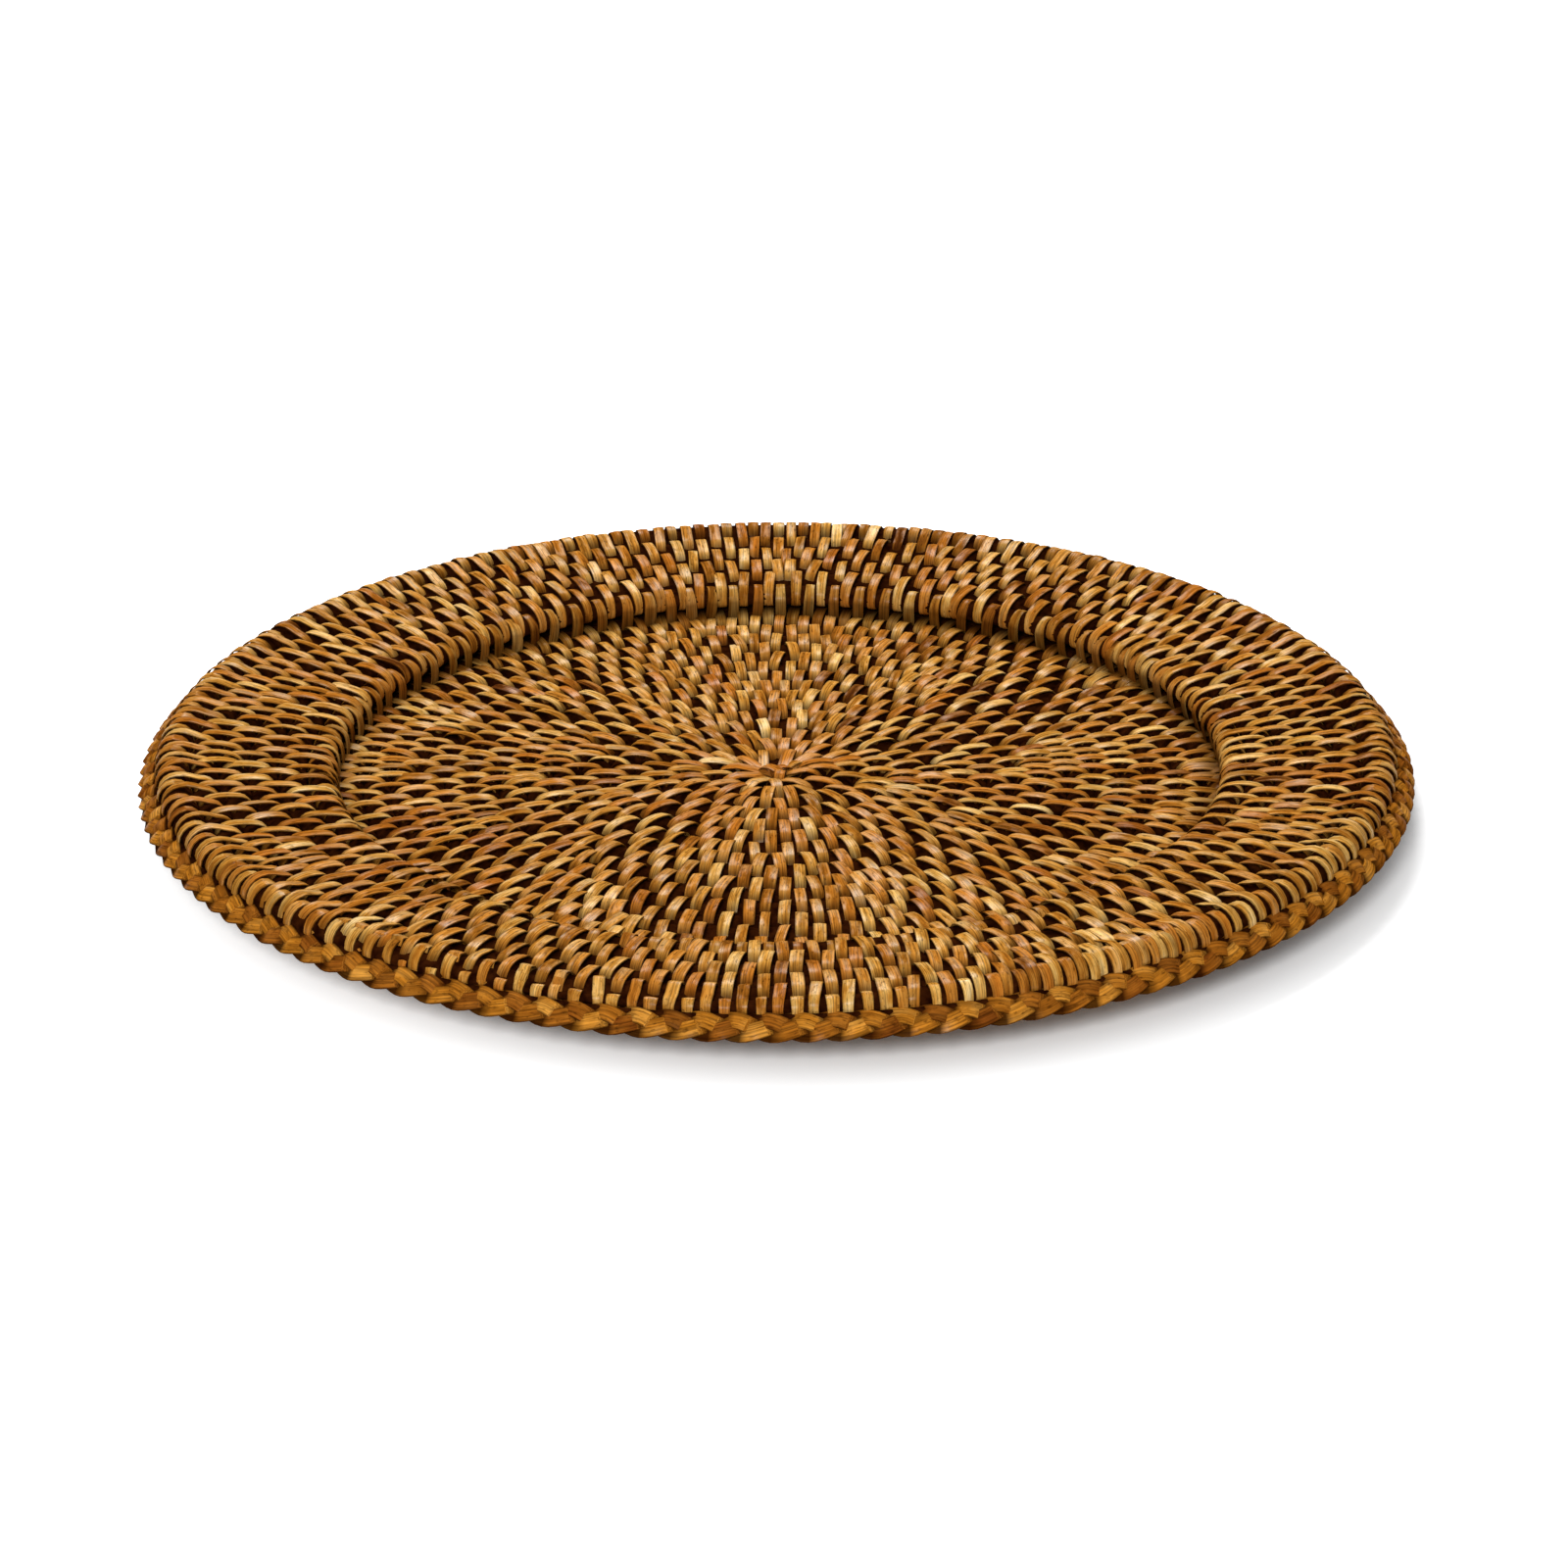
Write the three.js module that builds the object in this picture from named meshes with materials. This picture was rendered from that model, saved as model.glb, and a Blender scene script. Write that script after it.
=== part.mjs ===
// Coiled rattan plate. A round cane, bound in flat split strips, winds outward from a centre knot.
// It makes a flat well, climbs on to its own last turn as a bead, and goes on as a wide flange.
// A plaited border runs under the outermost turn. Nothing moves.
// Millimetres, +Z up, origin on the table under the pole of the coil.

import * as THREE from 'three';

// Overall sizes
const PLATE_DIAMETER = 330;
const WELL_OPENING = 230;
const FLANGE_SLOPE_DEGREES = 3;

// Bound cane: its width and height with the strips round it, and the gaps between turns
const COIL_WIDTH = 6.4;
const COIL_HEIGHT = 7.5;
const WELL_TURN_GAP = 0.6;
const FLANGE_TURN_GAP = 0.45;
const WALL_GAP = 2;
const SPLICE_GAP = 0.3;

// The well stands on its underside, pressed flat by a tenth of the bound height
const FLAT_CUT = COIL_HEIGHT / 10;

// Share of the half width at which the bound section turns over into its top and its underside
const CROWN_SHARE = 0.55;
const FLAT_SHARE = 0.6;

// Winding: turns step round in equal angles, clockwise outward as seen from above
const STEPS_PER_TURN = 24;
const TIP_STEPS = 4;
const CLIMB_STEPS = 5;
const JOGGLE_STEPS = 4;
const CLIMB_ANGLE_DEGREES = 225;
const BEAD_SETBACK = 1.4;
const SKIVED_SHARE = 0.6;

// Lengths of cane spliced end to end
const WELL_CANES = ['well_cane_inner', 'well_cane_middle', 'well_cane_outer'];
const FLANGE_CANES = ['bead_cane', 'flange_cane', 'rim_cane'];

// Eye of the first turn, and the knot that fills it
const EYE_RADIUS = 5.2;
const KNOT_LIFT = 0.4;
const KNOT_CROWN = 1.2;
const KNOT_SIDES = 16;
const KNOT_ARC_POINTS = 4;

// Plaited border under the rim
const BORDER_THICKNESS = 1.9;
const BORDER_TOP = 0.5;
const BORDER_DROP = 4.95;
const BORDER_SIDES = 96;
const BORDER_ARC_POINTS = 3;

// Clearance of the knot and the border from the cane that carries them
const SEAT_GAP = 0.3;

// Finishes: lacquered strip, honey-brown on the coil and more orange and glossier on the border
const WELL_FINISH = { color: 0xb27c38, roughness: 0.5, metalness: 0 };
const FLANGE_FINISH = { color: 0xa97235, roughness: 0.5, metalness: 0 };
const BORDER_FINISH = { color: 0xa5632a, roughness: 0.45, metalness: 0 };
const KNOT_FINISH = { color: 0xa0662c, roughness: 0.55, metalness: 0 };

// Places worked out from the sizes above
const radians = THREE.MathUtils.degToRad;
const smooth = THREE.MathUtils.smoothstep;
const mix = THREE.MathUtils.lerp;
const halfWidth = COIL_WIDTH / 2;
const halfHeight = COIL_HEIGHT / 2;
const stepAngle = (2 * Math.PI) / STEPS_PER_TURN;
const wellPitch = COIL_WIDTH + WELL_TURN_GAP;
const wellLevel = halfHeight - FLAT_CUT;
const beadLevel = wellLevel + COIL_HEIGHT + WALL_GAP;
const beadRadius = WELL_OPENING / 2 + halfWidth;
const rimRadius = PLATE_DIAMETER / 2 - BORDER_THICKNESS - SEAT_GAP - halfWidth;
const flangeSlope = Math.tan(radians(FLANGE_SLOPE_DEGREES));
const startRadius = EYE_RADIUS + halfWidth;

// Step at which the well cane arrives on top of the last turn of the well
const wellReach = beadRadius - BEAD_SETBACK + wellPitch - startRadius;
const climbEnd = Math.round((STEPS_PER_TURN * wellReach) / wellPitch);
const climbStart = climbEnd - CLIMB_STEPS;

// Turns of the flange from the bead out to the rim: as many as keep the turn gap half way round
const flangeWidth = rimRadius - beadRadius;
const joggleShare = 1 - JOGGLE_STEPS / STEPS_PER_TURN;
const leastPitch = COIL_WIDTH + FLANGE_TURN_GAP;
let flangeTurns = 1;
while (middlePitch(flangeTurns + 1) >= leastPitch) {
  flangeTurns += 1;
}

// The bead spirals out by one pitch a turn, or by less where the turns would crowd before the joggle
const crowdedRise = (flangeWidth - flangeTurns * leastPitch) / joggleShare;
const beadRise = Math.min(flangeWidth / flangeTurns, crowdedRise);
const rimStart = climbEnd + flangeTurns * STEPS_PER_TURN;
const rimEnd = rimStart + STEPS_PER_TURN - JOGGLE_STEPS / 2;

function middlePitch(turns) {
  return (flangeWidth / turns) * (1 - 0.5 / turns);
}

// Radius of turn number `turn` of the flange, a share `part` of the way round it
function flangeRadius(turn, part) {
  return mix(beadRadius + beadRise * part, rimRadius, turn / flangeTurns);
}

// Radius, level and share of full size of the cane at a whole step
function caneAt(step) {
  if (step <= climbEnd) {
    return wellCaneAt(step);
  }
  const turns = (step - climbEnd) / STEPS_PER_TURN;
  const turn = Math.floor(turns);
  const part = turns - turn;
  const joggle = smooth(part, joggleShare, 1);
  const outward = mix(flangeRadius(turn, part), flangeRadius(turn + 1, 0), joggle);
  const level = beadLevel + (Math.min(outward, rimRadius) - beadRadius) * flangeSlope;
  if (turn < flangeTurns) {
    return { radius: outward, level, size: 1 };
  }
  // The end of the rim cane is shaved to fit beside the turn that steps out to meet it
  const inside = caneAt(step - STEPS_PER_TURN).radius;
  const size = Math.min(1, (rimRadius - inside - FLANGE_TURN_GAP) / COIL_WIDTH);
  return { radius: rimRadius + halfWidth * (1 - size), level, size };
}

function wellCaneAt(step) {
  const spiral = startRadius + (wellPitch * step) / STEPS_PER_TURN;
  const along = (step - climbStart) / CLIMB_STEPS;
  if (along <= 0) {
    return { radius: spiral, level: wellLevel, size: 1 };
  }
  // The climb is skived thin so that it bends up between its neighbours
  const climb = smooth(along, 0, 1);
  return {
    radius: mix(spiral, beadRadius, climb),
    level: mix(wellLevel, beadLevel, climb),
    size: mix(1, SKIVED_SHARE, Math.sin(Math.PI * along)),
  };
}

// Corners of the bound section about its centre, anticlockwise, outward first
function sectionCorners(size, flatCut) {
  const wide = halfWidth * size;
  const high = halfHeight * size;
  return [
    [wide, 0],
    [wide * CROWN_SHARE, high],
    [-wide * CROWN_SHARE, high],
    [-wide, 0],
    [-wide * FLAT_SHARE, flatCut - high],
    [wide * FLAT_SHARE, flatCut - high],
  ];
}

// The same corners as radius and height at a whole step
function profileAt(step) {
  const { radius, level, size } = caneAt(step);
  const flatCut = step <= climbStart ? FLAT_CUT : 0;
  return sectionCorners(size, flatCut).map(([across, up]) => new THREE.Vector2(radius + across, level + up));
}

// Point at a whole step's angle, from its radius and height
function pointAt(step, radius, height) {
  const angle = radians(CLIMB_ANGLE_DEGREES) + (climbEnd - step) * stepAngle;
  return new THREE.Vector3(radius * Math.cos(angle), radius * Math.sin(angle), height);
}

function ringAt(step) {
  return profileAt(step).map((corner) => pointAt(step, corner.x, corner.y));
}

// Square end of the straight tip, on the spiral a few steps before the first turn
function tipRing() {
  const tip = pointAt(-TIP_STEPS, caneAt(-TIP_STEPS).radius, wellLevel);
  const start = pointAt(0, startRadius, wellLevel);
  const ahead = start.clone().sub(tip).normalize();
  const across = new THREE.Vector3(-ahead.y, ahead.x, 0);
  return sectionCorners(1, FLAT_CUT).map(([out, up]) => {
    return tip.clone().addScaledVector(across, out).setZ(wellLevel + up);
  });
}

// Ring of corners a given distance past the middle of the straight stretch after a whole step
function spliceRing(step, past) {
  const before = ringAt(step);
  const after = ringAt(step + 1);
  const share = 0.5 + past / before[0].distanceTo(after[0]);
  return before.map((corner, index) => corner.clone().lerp(after[index], share));
}

// Closed tube through rings of corners, capped at both ends
function tubeGeometry(rings) {
  const sides = rings[0].length;
  const corners = rings.flat();
  const faces = [];
  for (let ring = 0; ring + 1 < rings.length; ring += 1) {
    for (let side = 0; side < sides; side += 1) {
      const here = ring * sides + side;
      const beside = ring * sides + ((side + 1) % sides);
      faces.push(here, beside, here + sides);
      faces.push(beside, beside + sides, here + sides);
    }
  }
  const last = corners.length - sides;
  for (let side = 1; side + 1 < sides; side += 1) {
    faces.push(0, side + 1, side);
    faces.push(last, last + side, last + side + 1);
  }
  const geometry = new THREE.BufferGeometry().setFromPoints(corners);
  geometry.setIndex(faces);
  geometry.computeVertexNormals();
  return geometry;
}

// Least gap of a coil to itself, measured between corners and sides of turns at the same angle
function leastGap(steps) {
  let least = Infinity;
  for (const step of steps) {
    const outer = step + STEPS_PER_TURN;
    if (outer <= steps[steps.length - 1]) {
      const gap = Math.min(
        profileGap(profileAt(step), profileAt(outer)),
        profileGap(profileAt(outer), profileAt(step)),
      );
      least = Math.min(least, gap * Math.cos(stepAngle / 2));
    }
  }
  return least;
}

function profileGap(corners, outline) {
  const gaps = corners.flatMap((corner) =>
    outline.map((from, index) => distanceToSide(corner, from, outline[(index + 1) % outline.length])),
  );
  return Math.min(...gaps);
}

function distanceToSide(corner, from, to) {
  const side = to.clone().sub(from);
  const along = corner.clone().sub(from).dot(side) / side.lengthSq();
  const foot = from.clone().addScaledVector(side, THREE.MathUtils.clamp(along, 0, 1));
  return corner.distanceTo(foot);
}

function wholeSteps(first, last) {
  return Array.from({ length: last - first + 1 }, (_, index) => first + index);
}

// Steps after which a run of cane is spliced, so that its lengths come out equal
function spliceSteps(first, last, count) {
  const steps = wholeSteps(first, last - 1);
  const reached = [];
  let length = 0;
  for (const step of steps) {
    length += caneAt(step).radius * stepAngle;
    reached.push(length);
  }
  return wholeSteps(1, count - 1).map((index) => {
    return steps[reached.findIndex((distance) => distance >= (length * index) / count)];
  });
}

const plate = new THREE.Group();

function addMesh(name, geometry, finish) {
  const mesh = new THREE.Mesh(geometry, new THREE.MeshStandardMaterial(finish));
  mesh.name = name;
  plate.add(mesh);
}

// Canes of one run, with a square butt gap at each splice
function addCanes(names, first, last, finish, headRings, tailRings) {
  const cuts = spliceSteps(first, last, names.length);
  names.forEach((name, index) => {
    const from = index === 0 ? first : cuts[index - 1] + 1;
    const to = index === names.length - 1 ? last : cuts[index];
    const steps = wholeSteps(from, to);
    const head = index === 0 ? headRings : [spliceRing(from - 1, SPLICE_GAP / 2)];
    const tail = index === names.length - 1 ? tailRings : [spliceRing(to, -SPLICE_GAP / 2)];
    addMesh(name, tubeGeometry([...head, ...steps.map(ringAt), ...tail]), finish);
    console.log(`${name}: least gap to itself ${leastGap(steps).toFixed(2)} mm`);
  });
}

// Centre knot: a tucked plug of strip ends, seated against the inner edge of the straight tip,
// which runs through the corners half way round its sections
function knotGeometry() {
  const [tipEdge, startEdge] = [tipRing(), ringAt(0)].map((ring) => ring[ring.length / 2].setZ(0));
  const radius = distanceToSide(new THREE.Vector3(), tipEdge, startEdge) - SEAT_GAP;
  const shoulder = wellLevel + halfHeight - KNOT_CROWN;
  const crown = wellLevel + halfHeight;
  const outline = new THREE.Path();
  outline.moveTo(0, KNOT_LIFT);
  outline.lineTo(radius, KNOT_LIFT);
  outline.lineTo(radius, shoulder);
  outline.quadraticCurveTo(radius, crown, 0, crown);
  return new THREE.LatheGeometry(outline.getPoints(KNOT_ARC_POINTS), KNOT_SIDES).rotateX(Math.PI / 2);
}

// Plaited border: a crescent ring against the lower outside face of the rim cane
function borderGeometry() {
  const rimLevel = beadLevel + flangeWidth * flangeSlope;
  const face = new THREE.Vector2(halfWidth * (1 - FLAT_SHARE), halfHeight);
  const clear = new THREE.Vector2(face.y, -face.x).normalize().multiplyScalar(SEAT_GAP);
  const equator = new THREE.Vector2(rimRadius + halfWidth, rimLevel);
  const outside = equator.x + SEAT_GAP + BORDER_THICKNESS;
  const foot = equator.clone().addScaledVector(face, -BORDER_DROP / face.y);
  const middle = rimLevel + (BORDER_TOP - BORDER_DROP) / 2;
  const outline = new THREE.Path();
  outline.moveTo(foot.x + clear.x, foot.y);
  outline.quadraticCurveTo(outside, foot.y, outside, middle);
  outline.quadraticCurveTo(outside, rimLevel + BORDER_TOP, equator.x + SEAT_GAP, rimLevel + BORDER_TOP);
  outline.lineTo(equator.x + SEAT_GAP, rimLevel);
  outline.closePath();
  return new THREE.LatheGeometry(outline.getPoints(BORDER_ARC_POINTS), BORDER_SIDES).rotateX(Math.PI / 2);
}

addMesh('centre_knot', knotGeometry(), KNOT_FINISH);
addCanes(WELL_CANES, 0, climbEnd, WELL_FINISH, [tipRing()], [spliceRing(climbEnd, -SPLICE_GAP / 2)]);
addCanes(FLANGE_CANES, climbEnd + 1, rimEnd, FLANGE_FINISH, [spliceRing(climbEnd, SPLICE_GAP / 2)], []);
addMesh('plaited_border', borderGeometry(), BORDER_FINISH);

export default plate;
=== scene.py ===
import math

import bmesh
import bpy
import numpy as np
from mathutils import Matrix, Vector


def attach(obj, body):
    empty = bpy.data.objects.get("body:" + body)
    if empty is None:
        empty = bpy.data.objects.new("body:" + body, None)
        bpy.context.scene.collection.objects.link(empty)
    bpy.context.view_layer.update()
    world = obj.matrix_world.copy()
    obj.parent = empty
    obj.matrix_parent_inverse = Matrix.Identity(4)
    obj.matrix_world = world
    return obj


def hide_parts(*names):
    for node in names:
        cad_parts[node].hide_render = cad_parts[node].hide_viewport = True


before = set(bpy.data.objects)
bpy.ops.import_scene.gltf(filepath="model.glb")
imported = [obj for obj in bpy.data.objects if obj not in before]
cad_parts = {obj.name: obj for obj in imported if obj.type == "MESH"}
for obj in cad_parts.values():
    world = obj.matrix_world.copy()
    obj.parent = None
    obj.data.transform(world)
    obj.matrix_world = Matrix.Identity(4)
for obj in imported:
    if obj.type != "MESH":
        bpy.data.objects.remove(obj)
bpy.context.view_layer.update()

# Core canes: round rattan pole, wound clockwise outward from the centre as one long spiral.
# It lies flat in the well, climbs on to its own last turn as the bead and goes on as the flange.
# It is spliced from several lengths and shows only between the strips that bind it. Its colour is a
# stain made darker still with painted shade, for the shade in the holes where it shows.
STEPS_PER_TURN = 24
STEP_ANGLE = math.tau / STEPS_PER_TURN
CLIMB_ANGLE = math.radians(225)
EYE_START = -8
CLIMB_END = 396
CLIMB_STEPS = 5
CLIMB_START = CLIMB_END - CLIMB_STEPS
FLANGE_TURNS = 5
RIM_START = CLIMB_END + FLANGE_TURNS * STEPS_PER_TURN
RIM_END = RIM_START + STEPS_PER_TURN
JOGGLE_START = 0.75
EYE_TURN_RADIUS = 0.0084
WELL_PITCH = 0.0070
WELL_LEVEL = 0.0035
BEAD_RADIUS = 0.1176
BEAD_RISE = 0.0015
BEAD_LEVEL = 0.0114
RIM_RADIUS = 0.1550
FLANGE_SLOPE = math.tan(math.radians(6.2))
SKIVED_SHARE = 0.75
LEAST_SHAVED = 0.3
BOUND_HALF_WIDTH = 0.0032
TURN_GAP = 0.00045
CORE_HALF_WIDTH = 0.0029
CORE_HALF_HEIGHT = 0.0027
FLANGE_SPREAD = 1.07
RIM_SPREAD = 1.35
RIM_SWELL = 1.28
CORE_SWELL = 1.30
BARED_SWELL = 1.04
RIM_FILL = 1.06
SPREAD_RUN = 10.0
RIM_RUN = 3.0
BARE_RUN = 2.0
CORE_SIDES = 12
CORE_RINGS_PER_STEP = 3
CORE_TAPER_STEPS = 1.0
CORE_TIP_SHARE = 0.5
RING_RADIUS = 10.0
SHADED_BARK_TONES = ((0.35, (0.0110, 0.0020, 0.0006)), (0.65, (0.0380, 0.0090, 0.0018)))
BARK_ROUGHNESS = (0.65, 0.85)
BARK_SCALE = 420.0
BARK_DETAIL = 3.0
WHOLE_SPAN = (0.0, 1.0)


def ease(share):
    share = np.clip(share, 0.0, 1.0)
    return share * share * (3.0 - 2.0 * share)


def mix(low, high, share):
    return low + (high - low) * share


def flange_radius(turn, part):
    return mix(BEAD_RADIUS + BEAD_RISE * part, RIM_RADIUS, turn / FLANGE_TURNS)


def coil_at(steps):
    """Radius, height and share of full thickness of the cane at steps along the winding."""
    steps = np.asarray(steps, float)
    climb_share = (steps - CLIMB_START) / (CLIMB_END - CLIMB_START)
    climb = ease(climb_share)
    well = mix(EYE_TURN_RADIUS + WELL_PITCH * steps / STEPS_PER_TURN, BEAD_RADIUS, climb)
    turns = np.maximum(steps - CLIMB_END, 0.0) / STEPS_PER_TURN
    turn = np.minimum(np.floor(turns), FLANGE_TURNS)
    part = turns - turn
    joggle = ease((part - JOGGLE_START) / (1.0 - JOGGLE_START))
    flange = mix(flange_radius(turn, part), flange_radius(turn + 1, 0.0), joggle)
    flange = np.minimum(flange, RIM_RADIUS)
    slope = FLANGE_SLOPE * (flange - BEAD_RADIUS)
    level = np.where(steps > CLIMB_END, BEAD_LEVEL + slope, mix(WELL_LEVEL, BEAD_LEVEL, climb))
    inside = mix(flange_radius(FLANGE_TURNS - 1, part), RIM_RADIUS, joggle)
    shaved = (RIM_RADIUS - inside - TURN_GAP) / (2.0 * BOUND_HALF_WIDTH)
    shaved = np.where(turn == FLANGE_TURNS, np.clip(shaved, LEAST_SHAVED, 1.0), 1.0)
    flange = flange + BOUND_HALF_WIDTH * (1.0 - shaved)
    skived = np.sin(math.pi * np.clip(climb_share, 0.0, 1.0))
    radius = np.where(steps > CLIMB_END, flange, well)
    return radius, level, mix(1.0, SKIVED_SHARE, skived) * shaved


def in_rim(steps):
    """One where the cane is the rim and else nought, with a short run between."""
    return ease((steps - RIM_START + RIM_RUN) / RIM_RUN)


def core_halves(steps):
    """Half width and half height of the core, wider in the flange, where its turns spread."""
    size = coil_at(steps)[2]
    steps = np.asarray(steps, float)
    spread = mix(1.0, FLANGE_SPREAD, ease((steps - CLIMB_START) / SPREAD_RUN))
    rim = in_rim(steps)
    spread = mix(spread, RIM_SPREAD, rim)
    return CORE_HALF_WIDTH * spread * size, CORE_HALF_HEIGHT * mix(1.0, RIM_SWELL, rim) * size


def bared(steps):
    """One where the cane is the bead or the rim, whose sides lie open, and else nought."""
    starts = ease((steps - CLIMB_END + BARE_RUN) / BARE_RUN)
    ends = ease((CLIMB_END + STEPS_PER_TURN - steps) / BARE_RUN)
    return np.maximum(starts * ends, ease((steps - RIM_START + BARE_RUN / 2) / BARE_RUN))


def round_pole(radius, angle, level):
    """Points at a radius and an angle about the pole, and a level."""
    radius, angle, level = np.broadcast_arrays(radius, angle, level)
    return np.stack((radius * np.cos(angle), radius * np.sin(angle), level), axis=-1)


def coil_point(steps):
    """Centre of the cane at steps along the winding."""
    radius, level, _ = coil_at(steps)
    angle = CLIMB_ANGLE + (CLIMB_END - np.asarray(steps, float)) * STEP_ANGLE
    return round_pole(radius, angle, level)


def unit(vectors):
    return vectors / np.linalg.norm(vectors, axis=-1, keepdims=True)


def from_pole(points):
    """Level directions from the pole to points."""
    return unit(points * np.array((1.0, 1.0, 0.0)))


def place_node(tree, kind, inputs=None, **settings):
    """Shader node with its settings made, and its inputs set to values or linked to sockets."""
    node = tree.nodes.new("ShaderNode" + kind)
    for key, value in settings.items():
        setattr(node, key, value)
    for key, value in (inputs or {}).items():
        if isinstance(value, bpy.types.NodeSocket):
            tree.links.new(value, node.inputs[key])
        else:
            node.inputs[key].default_value = value
    return node


def new_finish(name, fixed):
    """Material, its node tree and its shader, with the values that are the same all over."""
    material = bpy.data.materials.new(name)
    material.use_nodes = True
    shader = material.node_tree.nodes["Principled BSDF"]
    for key, value in fixed.items():
        shader.inputs[key].default_value = value
    return material, material.node_tree, shader


def colour_ramp(tree, factor, stops):
    ramp = place_node(tree, "ValToRGB", {"Fac": factor})
    elements = ramp.color_ramp.elements
    while len(elements) < len(stops):
        elements.new(0.5)
    for element, (position, colour) in zip(elements, stops):
        element.position = position
        element.color = (*colour, 1.0)
    return ramp.outputs["Color"]


def stretch(tree, value, span, onto, **settings):
    """Value carried from one span on to another, and held at its ends."""
    limits = {"From Min": span[0], "From Max": span[1], "To Min": onto[0], "To Max": onto[1]}
    return place_node(tree, "MapRange", {"Value": value, **limits}, **settings).outputs["Result"]


def pattern(tree, places, scale, detail):
    noise = place_node(tree, "TexNoise", {"Vector": places, "Scale": scale, "Detail": detail})
    return noise.outputs["Fac"]


# The core's finish: a dark stain darkened further with painted shade, used by every cane and the knot
# plug.
core_finish, tree, shader = new_finish("dark_core_painted_shade", {"Specular IOR Level": 0.0})
coords = place_node(tree, "TexCoord")
bark = pattern(tree, coords.outputs["Object"], BARK_SCALE, BARK_DETAIL)
bark_rough = stretch(tree, bark, WHOLE_SPAN, BARK_ROUGHNESS)
tree.links.new(colour_ramp(tree, bark, SHADED_BARK_TONES), shader.inputs["Base Color"])
tree.links.new(bark_rough, shader.inputs["Roughness"])


def show(name, mesh, finish):
    """Piece from a mesh that is already in place, carried by the plate."""
    mesh.materials.append(finish)
    piece = bpy.data.objects.new(name, mesh)
    bpy.context.collection.objects.link(piece)
    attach(piece, "root")
    return piece


def finished_mesh(name, bm):
    mesh = bpy.data.meshes.new(name)
    bm.to_mesh(mesh)
    bm.free()
    return mesh


def cane_tube(name, centres, halves):
    """Round cane along a row of centres, closed at both ends."""
    rings = len(centres)
    wide, high = (np.broadcast_to(half, rings) for half in halves)
    bm = bmesh.new()
    circle = bmesh.ops.create_circle(bm, segments=CORE_SIDES, radius=1.0)["verts"]
    bmesh.ops.rotate(bm, verts=circle, cent=(0, 0, 0), matrix=Matrix.Rotation(math.pi / 2, 3, "X"))
    bmesh.ops.translate(bm, verts=circle, vec=(RING_RADIUS, 0.0, 0.0))
    bmesh.ops.spin(
        bm,
        geom=bm.verts[:] + bm.edges[:],
        cent=(0.0, 0.0, 0.0),
        axis=(0.0, 0.0, 1.0),
        angle=math.pi,
        steps=rings - 1,
    )
    bmesh.ops.holes_fill(bm, edges=[edge for edge in bm.edges if edge.is_boundary], sides=CORE_SIDES)
    places = np.array([vert.co for vert in bm.verts])
    turned = np.arctan2(np.maximum(places[:, 1], 0.0), places[:, 0]) / math.pi
    ring = np.rint(turned * (rings - 1)).astype(int)
    across = np.hypot(places[:, 0], places[:, 1]) - RING_RADIUS
    moved = centres[ring] + from_pole(centres)[ring] * (across * wide[ring])[:, None]
    moved[:, 2] += places[:, 2] * high[ring]
    for vert, place in zip(bm.verts, moved):
        vert.co = place
    bmesh.ops.recalc_face_normals(bm, faces=bm.faces)
    for face in bm.faces:
        face.smooth = len(face.verts) == 4
    return finished_mesh(name, bm)


def wind_core(name, first, last, nodes):
    """Length of core cane from step to step, tapered at its ends and swelling between the strips."""
    steps = np.linspace(first, last, (last - first) * CORE_RINGS_PER_STEP + 1)
    from_tip = np.minimum(steps - first, last - steps) / CORE_TAPER_STEPS
    taper = mix(CORE_TIP_SHARE, 1.0, ease(from_tip))
    swells = [taper * mix(swell, BARED_SWELL, bared(steps)) for swell in (CORE_SWELL, 1.0)]
    halves = [half * swell for half, swell in zip(core_halves(steps), swells)]
    halves[1] = halves[1] * mix(1.0, RIM_FILL, in_rim(steps))
    core = show(name, cane_tube(name, coil_point(steps), halves), core_finish)
    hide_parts(*nodes)


wind_core("well_core", EYE_START, CLIMB_END, ("well_cane_inner", "well_cane_middle", "well_cane_outer"))
wind_core("flange_core", CLIMB_END, RIM_END, ("bead_cane", "flange_cane", "rim_cane"))

# Packing cane: a thinner cane tucked into the angle behind the bead, which fills the wall's slit.
# It has the core's finish, darkened with painted shade, so that the slit shows dark, and the stitches
# of the wall hold it.
PACKING_HALVES = (0.0030, 0.0038)
PACKING_LEVEL = 0.0063
PACKING_SETBACK = 0.0060
PACKING_START = -2
PACKING_END = 22
packing_rings = (PACKING_END - PACKING_START) * CORE_RINGS_PER_STEP + 1
packing_steps = np.linspace(PACKING_START, PACKING_END, packing_rings)
packing_angle = CLIMB_ANGLE - packing_steps * STEP_ANGLE
packing_bend = flange_radius(0, packing_steps / STEPS_PER_TURN) + PACKING_SETBACK
packing_line = round_pole(packing_bend, packing_angle, PACKING_LEVEL)
packing = cane_tube("packing_cane", packing_line, PACKING_HALVES)
show("packing_cane", packing, core_finish)

# Binding strips: flat split rattan with a rounded shiny side, stained honey brown and lacquered.
# Each stitch passes over two neighbouring turns of cane and back under them.
# Each row sits half a stitch along from the row inside it, and now and then two strips share a gap.
STRIP_SECTION = ((-0.5, 0.0), (-0.49, 0.70), (0.0, 1.0), (0.49, 0.70), (0.5, 0.0))
STRIP_WIDTH = 0.0030
STRIP_THICKNESS = 0.00036
STRIP_ARCH = 0.0011
STRIP_EDGE = math.radians(50)
STITCH_PITCH = 0.0072
BEND_POINTS = 9
STITCH_LOOP = (
    [(1.0, degrees) for degrees in np.linspace(-90, 90, BEND_POINTS)]
    + [(end, 90.0) for end in (0.5, 0.0, -0.5)]
    + [(-1.0, degrees) for degrees in np.linspace(90, 270, BEND_POINTS)]
)
STITCH_WIDTHS_ROUND = 9.0
GROOVE_ONSET = 1.5
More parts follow.
